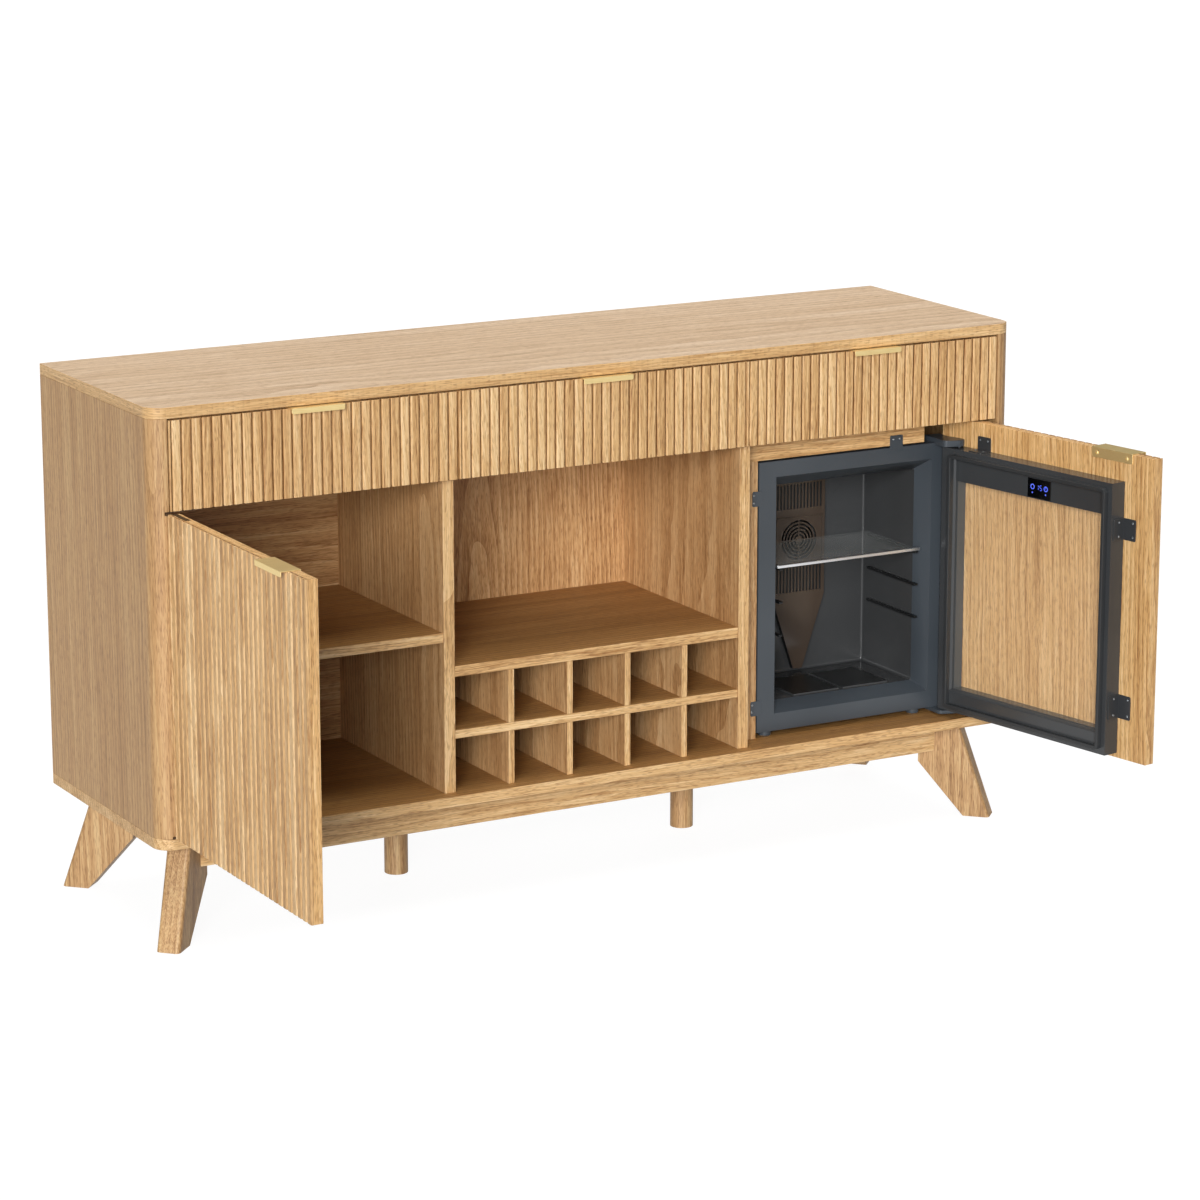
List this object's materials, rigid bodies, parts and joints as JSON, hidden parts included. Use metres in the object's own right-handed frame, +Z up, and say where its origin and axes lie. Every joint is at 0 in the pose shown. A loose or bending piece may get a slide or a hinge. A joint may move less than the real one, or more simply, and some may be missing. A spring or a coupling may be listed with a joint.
{
  "type": "bar cabinet with fridge",
  "caption": "Low oak bar cabinet with fluted doors, drawers on slides, an open bottle rack and a small built-in fridge behind one of its doors.",
  "frame": {"origin": "centre of the box around the part, with both doors open as in the picture, on the floor", "axes": "+X to the right along the cabinet's length, seen from the front; +Y from the fronts to the back; +Z up"},
  "size_m": [1.627, 0.952, 0.88],
  "materials": {
    "oak": "clear matt lacquer on oak veneer",
    "brass": "satin",
    "dark_steel": "black satin paint",
    "bare_steel": "plated",
    "aluminium": "brushed",
    "slate_plastic": "satin",
    "charcoal_plastic": "fine texture",
    "gloss_black": "gloss",
    "gasket_rubber": "matte",
    "clear_glass": "clear"
  },
  "bodies": {
    "cabinet": {"air_cover": "charcoal_plastic", "back_left_leg": "oak", "back_right_leg": "oak", "base_rails": "oak", "bottom_panel": "oak", "centre_feet": "oak", "drawer_dividers": "oak", "drawer_runners": "bare_steel", "fan_motor": "charcoal_plastic", "fridge_case": "slate_plastic", "fridge_clips": "dark_steel", "fridge_feet": "charcoal_plastic", "fridge_filler": "slate_plastic", "fridge_header": "slate_plastic", "fridge_hinges": "dark_steel", "fridge_liner": "charcoal_plastic", "front_left_leg": "oak", "front_right_leg": "oak", "glass_shelf": "clear_glass", "heat_sink": "aluminium", "left_back_panel": "oak", "left_hinge_plates": "bare_steel", "left_partition": "oak", "left_shelf": "oak", "left_side_panel": "oak", "middle_back_panel": "oak", "middle_shelf": "oak", "power_inlet": "charcoal_plastic", "rack_dividers": "oak", "rack_shelf": "oak", "rear_cover": "dark_steel", "right_back_panel": "oak", "right_partition": "oak", "right_side_panel": "oak", "shelf_ribs": "charcoal_plastic", "shelf_trim": "aluminium", "top_panel": "oak"},
    "cupboard_door": {"left_door": "oak", "left_door_pull": "brass", "left_door_hinges": "bare_steel"},
    "fridge_door": {"right_door": "oak", "right_door_pull": "brass", "door_frame": "slate_plastic", "door_glass": "clear_glass", "door_seal": "gasket_rubber", "door_display": "gloss_black", "door_clips": "dark_steel"},
    "fan": {"fan_impeller": "charcoal_plastic"},
    "left_drawer": {"left_drawer_front": "oak", "left_drawer_pull": "brass", "left_drawer_box": "oak", "left_drawer_runners": "bare_steel"},
    "middle_drawer": {"middle_drawer_front": "oak", "middle_drawer_pull": "brass", "middle_drawer_box": "oak", "middle_drawer_runners": "bare_steel"},
    "right_drawer": {"right_drawer_front": "oak", "right_drawer_pull": "brass", "right_drawer_box": "oak", "right_drawer_runners": "bare_steel"}
  },
  "joints": [
    {"name": "cupboard_door_hinge", "type": "hinge", "parent": "cabinet", "child": "cupboard_door", "pos_m": [-0.78648, 0.0275, 0.4525], "axis": [0, 0, 1], "range_deg": [0, 90]},
    {"name": "fridge_door_hinge", "type": "hinge", "parent": "cabinet", "child": "fridge_door", "pos_m": [0.70051, 0.056, 0.4525], "axis": [0, 0, 1], "range_deg": [-100.5, 0]},
    {"name": "left_drawer_slide", "type": "slide", "parent": "cabinet", "child": "left_drawer", "axis": [0, -1, 0], "range_m": [0, 0.3]},
    {"name": "middle_drawer_slide", "type": "slide", "parent": "cabinet", "child": "middle_drawer", "axis": [0, -1, 0], "range_m": [0, 0.3]},
    {"name": "right_drawer_slide", "type": "slide", "parent": "cabinet", "child": "right_drawer", "axis": [0, -1, 0], "range_m": [0, 0.3]},
    {"name": "fan_spin", "type": "hinge", "parent": "cabinet", "child": "fan", "pos_m": [0.50752, 0.271, 0.482], "axis": [0, 1, 0], "continuous": true}
  ]
}
